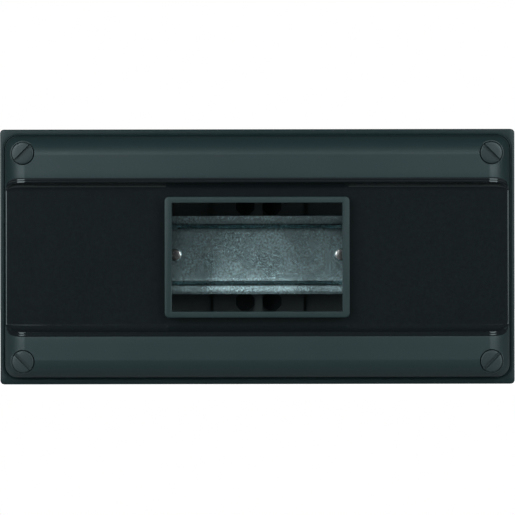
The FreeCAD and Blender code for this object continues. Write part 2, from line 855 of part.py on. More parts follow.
bodies = [base_housing(), front_cover(), din_rail()]
bodies.append(rail_screw("rail_screw_left", -1))
bodies.append(rail_screw("rail_screw_right", 1))
for screw_name, screw_side, screw_level in (
    ("cover_screw_top_left", -1, 1),
    ("cover_screw_top_right", 1, 1),
    ("cover_screw_bottom_left", -1, -1),
    ("cover_screw_bottom_right", 1, -1),
):
    bodies.append(cover_screw(screw_name, screw_side, screw_level))
for plate in plate_slots():
    bodies.append(entry_plate(*plate))

doc.recompute()
check(bodies)

os.makedirs("parts", exist_ok=True)
for body in bodies:
    body.Shape.exportStep("parts/%s.step" % body.Label)
    print("%s %.1f mm3" % (body.Label, body.Shape.Volume))
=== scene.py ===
import math

import bmesh
import bpy
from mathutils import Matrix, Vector

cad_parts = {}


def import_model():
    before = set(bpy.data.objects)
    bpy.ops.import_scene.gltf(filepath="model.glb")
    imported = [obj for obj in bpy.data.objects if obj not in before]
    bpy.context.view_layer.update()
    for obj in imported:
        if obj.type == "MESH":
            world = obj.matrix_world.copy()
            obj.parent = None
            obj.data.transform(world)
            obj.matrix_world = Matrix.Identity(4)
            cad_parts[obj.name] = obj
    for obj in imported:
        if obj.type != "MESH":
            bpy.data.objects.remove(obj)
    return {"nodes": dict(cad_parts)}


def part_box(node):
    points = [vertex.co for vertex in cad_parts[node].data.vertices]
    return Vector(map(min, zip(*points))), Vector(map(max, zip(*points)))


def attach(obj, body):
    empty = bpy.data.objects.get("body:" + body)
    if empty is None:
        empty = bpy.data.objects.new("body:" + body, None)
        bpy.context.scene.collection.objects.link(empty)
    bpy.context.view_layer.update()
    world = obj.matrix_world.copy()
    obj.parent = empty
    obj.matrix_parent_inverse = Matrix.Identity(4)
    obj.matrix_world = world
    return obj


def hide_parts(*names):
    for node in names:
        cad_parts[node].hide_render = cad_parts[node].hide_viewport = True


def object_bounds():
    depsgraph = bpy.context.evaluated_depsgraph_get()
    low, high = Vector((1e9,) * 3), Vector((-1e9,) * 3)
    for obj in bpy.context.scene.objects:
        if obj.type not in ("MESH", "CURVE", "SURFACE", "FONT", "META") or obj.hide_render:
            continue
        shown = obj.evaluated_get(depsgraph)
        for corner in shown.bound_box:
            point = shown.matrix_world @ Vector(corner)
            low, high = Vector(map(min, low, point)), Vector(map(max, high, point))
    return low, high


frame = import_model()
CAD_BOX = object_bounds()

# Lengths are in millimetres until a mesh is made, and a depth is measured forward from the wall
MM = 0.001

HALF_WIDTH = CAD_BOX[1].x / MM
HALF_HEIGHT = CAD_BOX[1].z / MM
FRONT = -CAD_BOX[0].y / MM
SKIRT_END = -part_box("front_cover")[1].y / MM

# The cover's rim, which falls a little towards its outer edge
OUTER_ROUND = 1.7
WALL = 2.5
RIM_WIDTH = 2.3
RIM_TOP = 2.9
RIM_PLANE = FRONT - 10.0
RIM_EDGE = 0.4
RIM_LEAN = 10.4
RIM_FALL = 0.18
RIM_CREST = 1.0
RIM_SIDE = 8.0
SKIRT_CHAMFER = 0.2

# The fine bead between the rim and the pillow's foot: distance out from the foot, and rise above the rim
BEAD = (
    (1.06, -0.02),
    (1.0, -0.13),
    (0.88, -0.13),
    (0.8, 0.04),
    (0.7, 0.18),
    (0.58, 0.22),
    (0.46, 0.18),
    (0.38, 0.05),
    (0.3, -0.12),
    (0.16, -0.16),
    (0.05, -0.12),
)

# The pillow, which rolls up from its foot all round
PILLOW_CORNER = 5.6
ROLL_SIDE = 9.5
ROLL_TOP = 8.1
ROLL_FOOT = 0.7
ROLL_RADIUS = 13.0
ANCHOR_X = HALF_WIDTH - RIM_WIDTH - PILLOW_CORNER
ANCHOR_Z = HALF_HEIGHT - RIM_TOP - PILLOW_CORNER

# The channel along the middle
CHANNEL_EDGE = 33.5
CHANNEL_DEPTH = 5.3
CHANNEL_FLOOR = FRONT - CHANNEL_DEPTH
CHANNEL_END_ROUND = 0.8
COVE_START = CHANNEL_EDGE - CHANNEL_DEPTH

# How closely the channel's edge follows its cove where it runs out through the pillow
SAG_LIMIT = 0.82

# The two fine ledges at each edge of the channel: how far each lies below the band, from where to where
LEDGES = ((0.38, 33.08, 32.62), (0.72, 32.22, 31.66))
LEDGE_ROUND = 0.12
LEDGE_SLUMP = 0.03
LEDGE_STEP = 0.06
LEDGE_GAP = 0.04

# Where the ledges have run out on the pillow's roll, and over how much of its fall they fade
LEDGE_END = 4.6
LEDGE_FADE = 2.0

# The channel's rounded lip: distance out from its edge, and drop below the band
CHANNEL_LIP = ((0.0, 0.06), (0.08, 0.01), (0.18, 0.0))

# Lines of the mesh: along the channel's flat floor, along the bands, across, and the turns at a corner
FLOOR_LINES = (0.0, 9.0, 18.0, 25.0)
FLOOR_EDGE_GAP = 0.6
BAND_LINES = (36.0, 39.0, 42.0)
HALF_ACROSS = 6
CORNER_TURNS = (6, 14, 22, 30, 36, 39.5, 41.5, 43.5, 45, 46.5, 48.5, 50.5, 54, 60, 68, 76, 84)
GRID_GAP = 0.4

# A depth in front of everything, where no channel is cut
OPEN = 1000.0

# The window and its collar
WINDOW_HALF_X = 36.0
WINDOW_HALF_Z = 23.0
WINDOW_DRAFT = 0.8
WINDOW_EDGE = 0.2
COLLAR_SIDE = 3.15
COLLAR_TOP = 2.6
COLLAR_CORNER = 2.0
COLLAR_ROUND = 0.5

# The cover's inside
REBATE_LIP = 1.0
REBATE_DEPTH = 3.0
BAND_INSET = 7.6
INSIDE_PILLOW = CHANNEL_FLOOR - WALL
WINDOW_SKIRT = 1.8
WINDOW_SKIRT_DEPTH = 6.0
RIB_X = 64.0
RIB_HALF = 0.8
RIB_DEPTH = 7.0

# A screw tube as (radius, forward depth), with the recess for the head and the bore for the shank
TUBE = (
    (6.2, 52.3),
    (6.2, 80.0),
    (5.6, 80.5),
    (5.5, FRONT - 2.2),
    (5.35, FRONT - 1.95),
    (5.2, FRONT - 1.9),
)
RECESS = 5.0
RECESS_DEPTH = 2.9
BORE = 2.6
BORE_START = 50.0

# The cover screws: side, level and body of each
SCREW_X = 99.0
SCREW_Z = 44.0
SCREWS = {
    "cover_screw_top_left": (-1, 1, "screw_top_left"),
    "cover_screw_top_right": (1, 1, "screw_top_right"),
    "cover_screw_bottom_left": (-1, -1, "screw_bottom_left"),
    "cover_screw_bottom_right": (1, -1, "screw_bottom_right"),
}

# The rail, a strip of one thickness
RAIL_FRONT = FRONT - 49.5
RAIL_BACK = RAIL_FRONT - 7.5
RAIL_SHEET = 1.0
RAIL_WEB = RAIL_BACK + RAIL_SHEET
RAIL_HALF = 17.5
RAIL_REACH = 54.0
RAIL_SCREW_X = 37.5
RAIL_HOLE = 1.8
LIP_FALL = 0.06

# The front of the rail's sheet as rolled, in soft bends that start gently, as distance from the rail's
# middle and rise: the foot's rise is from the web, and the brow's from the flange's front
RAIL_FOOT = (
    (10.3, 0.0),
    (10.7, 0.04),
    (11.2, 0.15),
    (11.7, 0.28),
    (12.0, 0.38),
    (12.24, 0.6),
    (12.42, 0.95),
    (12.5, 1.5),
)
RAIL_BROW = (
    (12.5, -2.5),
    (12.62, -1.75),
    (12.95, -1.1),
    (13.4, -0.64),
    (14.1, -0.35),
    (14.8, -0.22),
    (15.5, -0.1),
    (16.0, -0.03),
    (16.3, 0.0),
    (16.6, 0.0),
)

# How far a tool that cuts reaches past the surface
PAST = 1.0


def new_piece(name, points, faces):
    """An object from points in millimetres, (x, forward depth, z)."""
    mesh = bpy.data.meshes.new(name)
    mesh.from_pydata([Vector((x, -forward, z)) * MM for x, forward, z in points], [], faces)
    piece = bpy.data.objects.new(name, mesh)
    bpy.context.scene.collection.objects.link(piece)
    outward(mesh)
    return piece


def outward(mesh):
    """Turn every face of a closed mesh outwards."""
    shape = bmesh.new()
    shape.from_mesh(mesh)
    bmesh.ops.recalc_face_normals(shape, faces=shape.faces)
    shape.to_mesh(mesh)
    shape.free()


def weld(piece):
    """Join points in one place, and turn every face outwards."""
    shape = bmesh.new()
    shape.from_mesh(piece.data)
    bmesh.ops.remove_doubles(shape, verts=shape.verts, dist=0.000001)
    bmesh.ops.recalc_face_normals(shape, faces=shape.faces)
    shape.to_mesh(piece.data)
    shape.free()


def boolean(piece, tool, operation):
    """Cut the tool from the piece, or join it to the piece, and use the tool up."""
    step = piece.modifiers.new("step", "BOOLEAN")
    step.operation = operation
    step.solver = "EXACT"
    step.object = tool
    graph = bpy.context.evaluated_depsgraph_get()
    made = bpy.data.meshes.new_from_object(piece.evaluated_get(graph))
    piece.modifiers.clear()
    piece.data = made
    bpy.data.objects.remove(tool)


def cut(piece, tool):
    boolean(piece, tool, "DIFFERENCE")


def join(piece, tool):
    boolean(piece, tool, "UNION")


def smooth(piece, angle=28.0):
    """Smooth shading, with a crease where two faces meet at more than the angle."""
    piece.data.polygons.foreach_set("use_smooth", [True] * len(piece.data.polygons))
    piece.data.set_sharp_from_angle(angle=math.radians(angle))


def wear(piece, *materials):
    """Give a piece these materials in place of its own."""
    piece.data.materials.clear()
    for material in materials:
        piece.data.materials.append(material)


def band_faces(rings, count):
    """Quads between each ring of points and the next, every ring with count points."""
    faces = []
    for ring in range(rings - 1):
        for index in range(count):
            following = (index + 1) % count
            low = ring * count
            high = low + count
            faces.append((low + index, low + following, high + following, high + index))
    return faces


def stack(name, rings):
    """A closed piece through rings of points, capped at its two ends."""
    count = len(rings[0])
    points = [point for ring in rings for point in ring]
    last = len(points) - count
    faces = band_faces(len(rings), count)
    faces.append(tuple(range(count)))
    faces.append(tuple(range(last, last + count)))
    return new_piece(name, points, faces)


def box(name, low, high):
    """A closed box between two corners, (x, forward depth, z)."""
    rings = []
    for forward in (low[1], high[1]):
        rings.append([
            (low[0], forward, low[2]),
            (high[0], forward, low[2]),
            (high[0], forward, high[2]),
            (low[0], forward, high[2]),
        ])
    return stack(name, rings)


def centred_box(name, half_x, half_z, back, forward):
    return box(name, (-half_x, back, -half_z), (half_x, forward, half_z))


def turned_box(name, x, z, half_long, half_wide, back, forward, degrees):
    """A box centred at (x, z) whose long side is turned from the X axis."""
    angle = math.radians(degrees)
    along = Vector((math.cos(angle), math.sin(angle))) * half_long
    across = Vector((-math.sin(angle), math.cos(angle))) * half_wide
    corners = (-along - across, along - across, along + across, across - along)
    rings = [[(x + way.x, depth, z + way.y) for way in corners] for depth in (back, forward)]
    return stack(name, rings)


def lathe(name, profile, segments, x=0.0, z=0.0):
    """A closed piece turned about the forward axis through (x, z), from (radius, forward) pairs."""
    rings = []
    for radius, forward in profile:
        ring = []
        for index in range(segments):
            angle = 2 * math.pi * index / segments
            ring.append((x + radius * math.cos(angle), forward, z + radius * math.sin(angle)))
        rings.append(ring)
    return stack(name, rings)


def rectangle(half_x, half_z, forward):
    """A ring of four points round a rectangle."""
    return [
        (half_x, forward, -half_z),
        (half_x, forward, half_z),
        (-half_x, forward, half_z),
        (-half_x, forward, -half_z),
    ]


def rounded_rectangle(half_x, half_z, radius, forward, steps=8):
    """A ring of points round a rectangle with rounded corners."""
    ring = []
    for quarter, (side_x, side_z) in enumerate(((1, 1), (-1, 1), (-1, -1), (1, -1))):
        for step in range(steps + 1):
            angle = math.pi / 2 * (quarter + step / steps)
            ring.append((
                side_x * (half_x - radius) + radius * math.cos(angle),
                forward,
                side_z * (half_z - radius) + radius * math.sin(angle),
            ))
    return ring


def arc(centre, radius, first, last, steps):
    """Points round a centre from the first angle to the last, in degrees."""
    points = []
    for step in range(steps + 1):
        angle = math.radians(first + (last - first) * step / steps)
        points.append((centre[0] + radius * math.cos(angle), centre[1] + radius * math.sin(angle)))
    return points


def inside(value, limit):
    """The value, kept between minus the limit and the limit."""
    return max(-limit, min(limit, value))


def share_of(value):
    """The value, kept between nought and one."""
    return max(0.0, min(1.0, value))


# Front cover


def roll_rings():
    """The pillow's section: distance in from its foot at the sides and at the top, and forward depth."""
    start = Vector((ROLL_FOOT, CHANNEL_FLOOR))
    end = Vector((ROLL_SIDE, FRONT))
    chord = end - start
    inward = Vector((chord.y, -chord.x)).normalized()
    reach = math.sqrt(ROLL_RADIUS ** 2 - (chord.length / 2) ** 2)
    centre = (start + end) / 2 + inward * reach
    first = math.degrees(math.atan2(start.y - centre.y, start.x - centre.x))
    last = math.degrees(math.atan2(end.y - centre.y, end.x - centre.x))
    foot = Vector((0, RIM_PLANE))
    section = [tuple(start.lerp(foot, share)) for share in (1.0, 0.97, 0.8, 0.5, 0.2, 0.1)]
    section += arc(centre, ROLL_RADIUS, first, last, 32)
    narrowed = (ROLL_TOP - ROLL_FOOT) / (ROLL_SIDE - ROLL_FOOT)
    rings = []
    for side, forward in section:
        top = side if side < ROLL_FOOT else ROLL_FOOT + (side - ROLL_FOOT) * narrowed
        rings.append((side, top, forward))
    return rings


ROLL_RINGS = roll_rings()


def channel_lines():
    """Half of the channel's section: distance from the middle, forward depth and ledge drop of a line."""
    lowest, _, ledge_low = LEDGES[-1]
    flat = FLOOR_LINES + (COVE_START - FLOOR_EDGE_GAP,)
    lines = [(z, CHANNEL_FLOOR, lowest) for z in flat]
    cove_width = ledge_low - LEDGE_GAP - COVE_START
    cove_top = FRONT - lowest - LEDGE_STEP
    for out, rise in arc((0.0, 0.0), 1.0, -90, -6, 26):
        z = COVE_START + out * cove_width
        lines.append((z, cove_top + rise * (cove_top - CHANNEL_FLOOR), lowest))
    for drop, high, low in reversed(LEDGES):
        for z in (low, low + LEDGE_ROUND, high - LEDGE_ROUND, high):
            slump = LEDGE_SLUMP if z in (low, high) else 0.0
            lines.append((z, FRONT - drop - slump, drop))
    lines += [(CHANNEL_EDGE + out, FRONT - drop, drop) for out, drop in CHANNEL_LIP]
    return lines


def edge_share(z):
    """How closely a line at z follows the channel's edge: fully at the edge, not at all far from it."""
    if z < CHANNEL_EDGE:
        return max(0.0, (z - COVE_START) / CHANNEL_DEPTH)
    return max(0.0, 1 - (z - CHANNEL_EDGE) / CHANNEL_DEPTH)


def channel_sag(fall):
    """How far the channel's edge bends in towards the middle where the pillow has fallen that far."""
    share = min(fall / CHANNEL_DEPTH, SAG_LIMIT)
    sag = CHANNEL_DEPTH * (1 - math.sqrt(1 - share * share))
    below_floor = FRONT - RIM_PLANE - CHANNEL_DEPTH
    return sag * share_of((FRONT - RIM_PLANE - fall) / below_floor)


def pillow_depth(x):
    """The pillow's forward depth at a place x along the channel, before the channel is sunk into it."""
    inward = HALF_WIDTH - RIM_WIDTH - x
    for (near, _, low), (far, _, high) in zip(ROLL_RINGS, ROLL_RINGS[1:]):
        if near <= inward < far:
            return low + (high - low) * (inward - near) / (far - near)
    return FRONT if inward > 0 else RIM_PLANE


def lower_of(first, second, blend):
    """The lower of two depths, rounded over where they cross."""
    if blend <= 0 or abs(first - second) >= blend:
        return min(first, second)
    share = 1 - abs(first - second) / blend
    return min(first, second) - share * share * blend / 4


def cover_ring_bases():
    """The points of a ring round the pillow, with the lines along the sides and across.

    Each point has its anchor, its way outwards, and the depth and ledge drop of the channel there.
    """
    half_lines = [line if line[2] else (line[0], OPEN, 0.0) for line in channel_lines()]
    half_lines += [(z, OPEN, 0.0) for z in BAND_LINES + (ANCHOR_Z,)]
    mirrored = [(-z, depth, drop) for z, depth, drop in reversed(half_lines[1:])]
    side_lines = mirrored + half_lines
    across = [ANCHOR_X * share / HALF_ACROSS for share in range(-HALF_ACROSS, HALF_ACROSS + 1)]
    bases = []
    for quarter in range(4):
        turn = 90 * quarter
        way = Vector((round(math.cos(math.radians(turn))), round(math.sin(math.radians(turn)))))
        if quarter % 2 == 0:
            side = side_lines if quarter == 0 else side_lines[::-1]
            bases += [(Vector((way.x * ANCHOR_X, z)), way, depth, drop) for z, depth, drop in side]
        else:
            line = across[::-1] if quarter == 1 else across
            bases += [(Vector((x, way.y * ANCHOR_Z)), way, OPEN, 0.0) for x in line]
        corner = bases[-1][0]
        for degrees in CORNER_TURNS:
            angle = math.radians(turn + degrees)
            bases.append((corner, Vector((math.cos(angle), math.sin(angle))), OPEN, 0.0))
    return bases, side_lines, across


def pillow_place(anchor, way, side, top):
    """A ring's point, side in from the pillow's foot at its sides and top in at its top and bottom."""
    reach_x = PILLOW_CORNER - side
    reach_z = PILLOW_CORNER - top
    x = anchor.x + way.x * max(reach_x, 0)
    z = anchor.y + way.y * max(reach_z, 0)
    if reach_x < 0:
        x = inside(x, ANCHOR_X + reach_x)
    if reach_z < 0:
        z = inside(z, ANCHOR_Z + reach_z)
    return Vector((x, z))


def reach_to_edge(anchor, way, inset):
    """How far a point on the box's outline lies from the anchor along its way, found by halving."""
    half = Vector((HALF_WIDTH - inset, HALF_HEIGHT - inset))
    low = 0.0
    high = 40.0
    for _ in range(40):
        middle = (low + high) / 2
        point = anchor + way * middle
        over = Vector((abs(point.x) - half.x + OUTER_ROUND, abs(point.y) - half.y + OUTER_ROUND))
        corner = Vector((max(over.x, 0), max(over.y, 0))).length
        outside = corner + min(max(over.x, over.y), 0) - OUTER_ROUND
        if outside > 0:
            high = middle
        else:
            low = middle
    return low


def roll_ring(bases, side, top, forward):
    """One ring on the pillow's roll, with the channel sunk into it."""
    fall = FRONT - forward
    blend = CHANNEL_END_ROUND * min(1.0, fall / CHANNEL_DEPTH)
    ledge = share_of((LEDGE_END - fall) / LEDGE_FADE)
    sag = channel_sag(fall)
    ring = []
    for anchor, way, depth, drop in bases:
        place = pillow_place(anchor, way, side, top)
        if way.y == 0:
            place.y -= math.copysign(sag * edge_share(abs(place.y)), place.y)
        ring.append((place, lower_of(forward - drop * ledge, depth, blend)))
    return ring


def cover_rings(bases):
    """Rings of (place, forward depth) from the skirt's end over the rim and the bead to the front."""
    edge = [
        (SKIRT_CHAMFER, SKIRT_END),
        (0.0, SKIRT_END + SKIRT_CHAMFER),
        (0.0, RIM_PLANE - RIM_SIDE),
    ]
    edge += arc((RIM_EDGE, RIM_PLANE - RIM_EDGE - RIM_FALL), RIM_EDGE, 180, 90 + RIM_LEAN, 5)
    edge.append((RIM_CREST, RIM_PLANE))
    rings = []
    for inset, forward in edge:
        ring = []
        for anchor, way, _, _ in bases:
            ring.append((anchor + way * reach_to_edge(anchor, way, inset), forward))
        rings.append(ring)
    for out, rise in BEAD:
        reach = PILLOW_CORNER + out
        rings.append([(anchor + way * reach, RIM_PLANE + rise) for anchor, way, _, _ in bases])
    for side, top, forward in ROLL_RINGS:
        rings.append(roll_ring(bases, side, top, forward))
    return rings


def cover_block():
    """The cover's outside as one closed piece, from the skirt's end to the front."""
    bases, side_lines, across = cover_ring_bases()
    rings = cover_rings(bases)
    points = [(place.x, forward, place.y) for ring in rings for place, forward in ring]
    count = len(bases)
    faces = band_faces(len(rings), count)
    faces.append(tuple(range(count)))

    # Inside the rings, the front is a grid between the side lines and the lines across
    columns = len(across)
    rows = len(side_lines)
    first = len(points)
    grid_x = ANCHOR_X + PILLOW_CORNER - ROLL_SIDE - GRID_GAP
    grid_z = ANCHOR_Z + PILLOW_CORNER - ROLL_TOP - GRID_GAP
    for z, depth, _ in side_lines:
        for x in across:
            points.append((inside(x, grid_x), min(FRONT, depth), inside(z, grid_z)))
    for row in range(rows - 1):
        for column in range(columns - 1):
            corner = first + row * columns + column
            faces.append((corner, corner + 1, corner + columns + 1, corner + columns))

    # The last ring is joined to the grid's border, whose corners each meet a whole turn of the ring
    right = [first + row * columns + columns - 1 for row in range(rows)]
    top = [first + rows * columns - 1 - column for column in range(columns)]
    left = [first + (rows - 1 - row) * columns for row in range(rows)]
    bottom = [first + column for column in range(columns)]
    border = []
    for side in (right, top, left, bottom):
        border += side + [side[-1]] * len(CORNER_TURNS)
    inner = first - count
    for index in range(count):
        following = (index + 1) % count
        face = [inner + index, inner + following, border[following], border[index]]
        if border[following] == border[index]:
            face.pop()
        faces.append(tuple(face))
    return new_piece("cover_shell", points, faces)


def collar_block():
    """The collar round the window, rooted just below the channel's floor."""
    half_x = WINDOW_HALF_X + COLLAR_SIDE
    half_z = WINDOW_HALF_Z + COLLAR_TOP
    rings = [rounded_rectangle(half_x, half_z, COLLAR_CORNER, CHANNEL_FLOOR - PAST)]
    for inset, forward in arc((COLLAR_ROUND, FRONT - COLLAR_ROUND), COLLAR_ROUND, 180, 90, 5):
        rings.append(rounded_rectangle(half_x - inset, half_z - inset, COLLAR_CORNER - inset, forward))
    return stack("collar", rings)


def hollow_out(cover):
    """Cut the skirt's hollow, the rebate for the housing's tongue, and the hollows behind the front."""
    below = SKIRT_END - PAST
    skirt_x = HALF_WIDTH - WALL
    skirt_z = HALF_HEIGHT - WALL
    cut(cover, centred_box("skirt_hollow", skirt_x, skirt_z, below, RIM_PLANE - WALL))
    lip_x = HALF_WIDTH - REBATE_LIP
    lip_z = HALF_HEIGHT - REBATE_LIP
    cut(cover, centred_box("rebate", lip_x, lip_z, below, SKIRT_END + REBATE_DEPTH))
    pillow = RIM_WIDTH + ROLL_FOOT / 2 + WALL
    pillow_x = HALF_WIDTH - pillow
    pillow_z = HALF_HEIGHT - pillow
    cut(cover, centred_box("pillow_hollow", pillow_x, pillow_z, below, INSIDE_PILLOW))
    band = RIM_WIDTH + BAND_INSET
    reach = HALF_WIDTH - band
    for side in (-1, 1):
        low, high = sorted((side * (CHANNEL_EDGE + WALL), side * (HALF_HEIGHT - band)))
        cut(cover, box("band_hollow", (-reach, below, low), (reach, FRONT - WALL, high)))


def add_inside(cover):
    """Join the skirt behind the window, the two ribs and the four screw tubes."""
    skirt_x = WINDOW_HALF_X + WINDOW_SKIRT
    skirt_z = WINDOW_HALF_Z + WINDOW_SKIRT
    root = INSIDE_PILLOW + PAST
    join(cover, centred_box("window_skirt", skirt_x, skirt_z, INSIDE_PILLOW - WINDOW_SKIRT_DEPTH, root))
    rib_z = CHANNEL_EDGE + WALL
    for side in (-1, 1):
        low = (side * RIB_X - RIB_HALF, INSIDE_PILLOW - RIB_DEPTH, -rib_z)
        high = (side * RIB_X + RIB_HALF, root, rib_z)
        join(cover, box("rib", low, high))
    for side, level, _ in SCREWS.values():
        join(cover, lathe("tube", TUBE, 64, side * SCREW_X, level * SCREW_Z))


def cut_window(cover):
    """Cut the window, a little wider behind than at the front, with a broken edge."""
    back = INSIDE_PILLOW - WINDOW_SKIRT_DEPTH - PAST
    wide_x = WINDOW_HALF_X + WINDOW_EDGE
    wide_z = WINDOW_HALF_Z + WINDOW_EDGE
    rings = [rectangle(WINDOW_HALF_X + WINDOW_DRAFT, WINDOW_HALF_Z + WINDOW_DRAFT, back)]
    rings.append(rectangle(WINDOW_HALF_X, WINDOW_HALF_Z, FRONT - 1.0))
    for inset, forward in arc((0.0, FRONT - WINDOW_EDGE), WINDOW_EDGE, 0, 90, 3):
        rings.append(rectangle(wide_x - inset, wide_z - inset, forward))
    rings.append(rectangle(wide_x, wide_z, FRONT + PAST))
    cut(cover, stack("window", rings))


def cover_shell():
    """The whole cover: its outside, the collar, the window, its hollow inside and its screw tubes."""
    cover = cover_block()
    weld(cover)
    join(cover, collar_block())
    hollow_out(cover)
    add_inside(cover)
    cut_window(cover)
    for side, level, _ in SCREWS.values():
        x = side * SCREW_X
        z = level * SCREW_Z
        cut(cover, lathe("recess", [(RECESS, FRONT - RECESS_DEPTH), (RECESS, FRONT + PAST)], 72, x, z))
        cut(cover, lathe("bore", [(BORE, BORE_START), (BORE, FRONT)], 32, x, z))
    smooth(cover)
    return cover


def cover_piece():
    """The cover with its three finishes: bands and collar, glossy channel, and rim."""
    cover = cover_shell()
    wear(cover, band_plastic, channel_plastic, rim_plastic)
    channel_x = HALF_WIDTH - RIM_WIDTH - ROLL_FOOT + 0.2
    channel_z = CHANNEL_EDGE + 0.12
    channel_back = CHANNEL_FLOOR - 0.6
    collar_x = WINDOW_HALF_X + COLLAR_SIDE + 0.05
    collar_z = WINDOW_HALF_Z + COLLAR_TOP + 0.05
    rim_front = RIM_PLANE + 0.3
    for face in cover.data.polygons:
        centre = face.center / MM
        x = abs(centre.x)
        z = abs(centre.z)
        forward = -centre.y
        sunk = channel_back < forward < pillow_depth(x) - 0.05
        in_collar = x < collar_x and z < collar_z
        if x < channel_x and z < channel_z and sunk and not in_collar:
            face.material_index = 1
        elif forward < rim_front:
            face.material_index = 2
    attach(cover, "cover")
    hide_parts("front_cover")


# Cover screws


def cover_screw(name, side, level, body):
    """A captive quarter-turn screw: a slightly crowned slotted head on a long shank with a hammer tip."""
    x = side * SCREW_X
    z = level * SCREW_Z
    head = 4.6
    shank = 2.5
    neck = 1.6
    top = FRONT - 0.25
    seat = FRONT - 2.6
    tip = 39.4
    hammer = tip + 2.6
    neck_end = tip + 5.6
    chamfer = 0.1
    edge = 0.3
    crown_fall = 0.16
    edge_depth = 0.46
    crown = [(head * share, top - crown_fall * share * share) for share in (0.02, 0.2, 0.4, 0.6, 0.75)]
    rim = arc((head - edge, top - edge_depth), edge, 80, 0, 5)
    profile = [
        (shank, tip),
        (shank, hammer),
        (neck, hammer),
        (neck, neck_end),
        (shank, neck_end),
        (shank, seat),
        (head - chamfer, seat),
        (head, seat + chamfer),
    ]
    screw = lathe(name, profile + rim[::-1] + crown[::-1], 72, x, z)
    slant = -45 * side * level
    slot_long = 6.0
    slot_wide = 0.75
    slot_floor = top - 1.4
    cut(screw, turned_box("slot", x, z, slot_long, slot_wide, slot_floor, top + PAST, slant))
    flat_away = 3.6
    flat_long = 4.0
    flat_wide = 2.0
    across = Vector((-math.sin(math.radians(slant)), math.cos(math.radians(slant))))
    for flat in (-1, 1):
        away = across * flat_away * flat
        flat_x = x + away.x
        flat_z = z + away.y
        cut(screw, turned_box("tip_flat", flat_x, flat_z, flat_long, flat_wide, tip - PAST, hammer, slant))
    smooth(screw)
    wear(screw, screw_plastic)
    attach(screw, body)
    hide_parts(name)


# Rail and its screws


def parallel(line, distance):
    """A line of (z, depth) points moved sideways by a distance."""
    moved = []
    for index, point in enumerate(line):
        before = Vector(line[max(index - 1, 0)])
        after = Vector(line[min(index + 1, len(line) - 1)])
        along = (after - before).normalized()
        moved.append((point[0] + along.y * distance, point[1] - along.x * distance))
    return moved


def rail_line():
    """Half of the rail's front face in section, from its middle to its lip."""
    line = [(0.0, RAIL_WEB)]
    line += [(z, RAIL_WEB + rise) for z, rise in RAIL_FOOT]
    line += [(z, RAIL_FRONT + rise) for z, rise in RAIL_BROW]
    line.append((RAIL_HALF, RAIL_FRONT - LIP_FALL))
    return line


def din_rail():
    """The top-hat rail, rolled from one strip with round bends, with a hole for each of its screws."""
    front = rail_line()
    back = parallel(front, RAIL_SHEET)
    other = [(-z, depth) for z, depth in front[1:]][::-1]
    other_back = [(-z, depth) for z, depth in back[1:]]
    outline = other + front + back[::-1] + other_back
    rings = [[(x, depth, z) for z, depth in outline] for x in (-RAIL_REACH, RAIL_REACH)]
    rail = stack("rail", rings)
    for side in (-1, 1):
        profile = [(RAIL_HOLE, RAIL_BACK - PAST), (RAIL_HOLE, RAIL_FRONT)]
        cut(rail, lathe("hole", profile, 32, side * RAIL_SCREW_X))
    smooth(rail)
    wear(rail, rail_steel)
    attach(rail, "base")
    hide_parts("din_rail")


def rail_screw(name, side):
    """A domed screw with a cross recess."""
    x = side * RAIL_SCREW_X
    head = 2.9
    shank = 1.5
    round_edge = 0.7
    top = RAIL_WEB + 1.6
    tip = RAIL_WEB - 14.0
    profile = [(shank, tip), (shank, RAIL_WEB), (head, RAIL_WEB)]
    profile += arc((head - round_edge, RAIL_WEB + 0.8), round_edge, 0, 84, 8)
    profile += [(1.4, top - 0.03), (0.8, top), (0.05, top)]
    screw = lathe(name, profile, 64, x)
    cross_long = 1.35
    cross_wide = 0.36
    cross_floor = top - 1.1
    for slant in (20, 110):
        cut(screw, turned_box("cross", x, 0, cross_long, cross_wide, cross_floor, top + PAST, slant))
    smooth(screw)
    wear(screw, screw_steel)
    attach(screw, "base")
    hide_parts(name)


# Materials

SHEEN = (0.80, 0.97, 1.0)
BAND = (0.0072, 0.0180, 0.0200)
GLOSS = (0.0058, 0.0086, 0.0096)
HOUSING = (0.0092, 0.0186, 0.0206)
# The inside's colour is painted light: far paler than the outside, standing in for light that reaches
# inside the box
INSIDE_PAINTED_LIGHT = (0.064, 0.086, 0.089)
SCREW = (0.010, 0.019, 0.021)
ZINC = (0.46, 0.67, 0.71)
BRIGHT_ZINC = (0.66, 0.70, 0.70)

# How far a roughness varies either way
UNEVEN = 0.02

# Where the painted light on the housing's inside begins, in from its outline and forward from its back, and
# over how far
INNER_WALL = 2.6
BACK_WALL = 2.8
WALL_FADE = 0.05
BACK_FADE = 0.1


def scaled(colour, share):
    return tuple(part * share for part in colour)


def material_of(name, colour, roughness, metallic=0.0, specular=0.5, tint=(1, 1, 1)):
    """A material with its plain values on the shader's own sockets."""
    material = bpy.data.materials.new(name)
    material.use_nodes = True
    shader = material.node_tree.nodes["Principled BSDF"]
    shader.inputs["Base Color"].default_value = (*colour, 1)
    shader.inputs["Roughness"].default_value = roughness
    shader.inputs["Metallic"].default_value = metallic
    shader.inputs["Specular IOR Level"].default_value = specular
    shader.inputs["Specular Tint"].default_value = (*tint, 1)
    return material, material.node_tree, shader


def maths(tree, operation, first, second=None):
    node = tree.nodes.new("ShaderNodeMath")
    node.operation = operation
    tree.links.new(first, node.inputs[0])
    if second is not None:
        tree.links.new(second, node.inputs[1])
    return node.outputs["Value"]


def noise(tree, scale, detail, roughness=0.55):
    """A pattern fixed to the object, with scale features to the metre."""
    place = tree.nodes.new("ShaderNodeTexCoord")
    pattern = tree.nodes.new("ShaderNodeTexNoise")
    pattern.inputs["Scale"].default_value = scale
    pattern.inputs["Detail"].default_value = detail
    pattern.inputs["Roughness"].default_value = roughness
    tree.links.new(place.outputs["Object"], pattern.inputs["Vector"])
    return pattern.outputs["Fac"]


